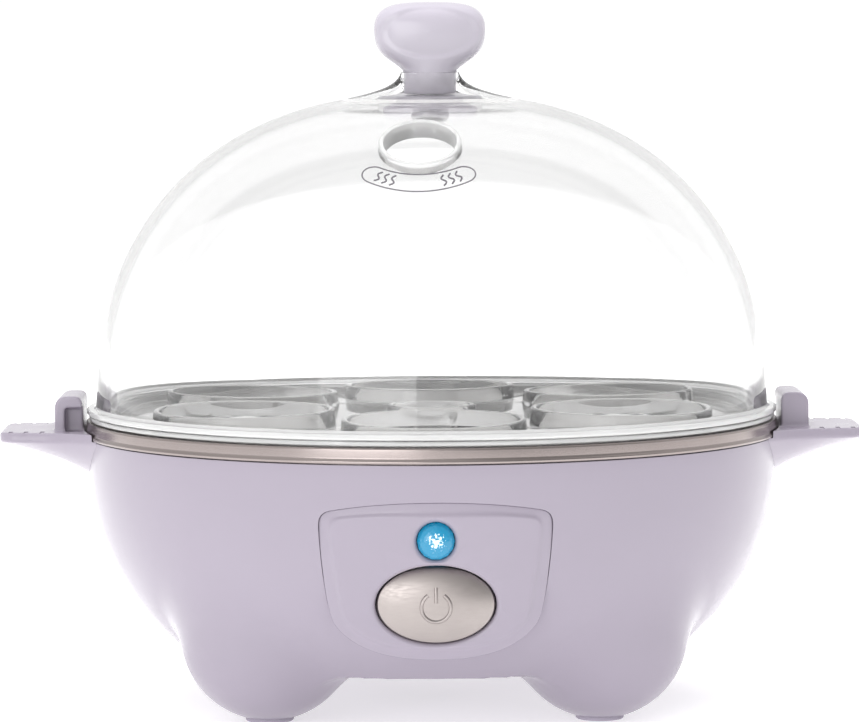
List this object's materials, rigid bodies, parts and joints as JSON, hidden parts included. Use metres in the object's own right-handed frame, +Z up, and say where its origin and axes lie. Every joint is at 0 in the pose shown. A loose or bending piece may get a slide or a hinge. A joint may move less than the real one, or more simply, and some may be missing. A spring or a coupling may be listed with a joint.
{
  "type": "egg cooker",
  "caption": "Electric egg cooker with a clear dome lid, egg tray, steel heating dish and a lilac bowl base on legs with side handles and a push button.",
  "frame": {"origin": "on the table, under the centre of the bowl", "axes": "+Z up, front with the control panel towards -Y, +X to the right along the two handles"},
  "size_m": [0.182, 0.147, 0.1475],
  "materials": {
    "lilac_plastic": "pale lilac moulded plastic, glossy",
    "clear_plastic": "clear moulded plastic, glossy",
    "stainless_steel": "brushed and spun stainless steel",
    "satin_metal": "satin silver",
    "zinc_steel": "zinc plated",
    "rubber": "soft matt rubber",
    "silicone": "translucent silicone",
    "blue_lens": "clear blue, faceted and glossy",
    "black_plastic": "black moulded plastic",
    "circuit_board": "green laminate",
    "ceramic": "cream ceramic"
  },
  "bodies": {
    "base": {"base_housing": "lilac_plastic", "bottom_cover": "lilac_plastic", "control_panel": "lilac_plastic", "handle_right": "lilac_plastic", "handle_left": "lilac_plastic", "heating_dish": "stainless_steel", "heat_shield": "stainless_steel", "cover_screw_1": "zinc_steel", "cover_screw_2": "zinc_steel", "cover_screw_3": "zinc_steel", "dish_screw_1": "zinc_steel", "dish_screw_2": "zinc_steel", "dish_screw_3": "zinc_steel", "heating_element": "zinc_steel", "thermostat_bracket": "zinc_steel", "bracket_screw_left": "zinc_steel", "bracket_screw_right": "zinc_steel", "board_screw_left": "zinc_steel", "board_screw_right": "zinc_steel", "gland_nut": "zinc_steel", "rubber_foot_1": "rubber", "rubber_foot_2": "rubber", "rubber_foot_3": "rubber", "rubber_foot_4": "rubber", "cord_gland": "rubber", "dish_gasket": "silicone", "indicator_lens": "blue_lens", "indicator_lamp": "blue_lens", "push_switch": "black_plastic", "buzzer": "black_plastic", "control_board": "circuit_board", "element_terminal_right": "ceramic", "element_terminal_left": "ceramic", "thermostat": "ceramic", "thermal_fuse": "ceramic"},
    "button": {"power_button": "satin_metal", "switch_plunger": "ceramic", "button_spring": "zinc_steel"},
    "tray": {"egg_tray": "clear_plastic"},
    "lid": {"lid_dome": "clear_plastic", "lid_knob": "lilac_plastic", "knob_washer": "lilac_plastic", "knob_screw": "zinc_steel"}
  },
  "joints": [
    {"name": "tray_lift", "type": "slide", "parent": "base", "child": "tray", "axis": [0, 0, 1], "range_m": [0, 0.06]},
    {"name": "lid_lift", "type": "slide", "parent": "tray", "child": "lid", "axis": [0, 0, 1], "range_m": [0, 0.09]},
    {"name": "button_press", "type": "slide", "parent": "base", "child": "button", "axis": [0, 1, 0], "range_m": [0, 0.003], "stiffness_N_per_m": 800, "springref_m": -0.001, "deforming": ["button_spring"]}
  ]
}
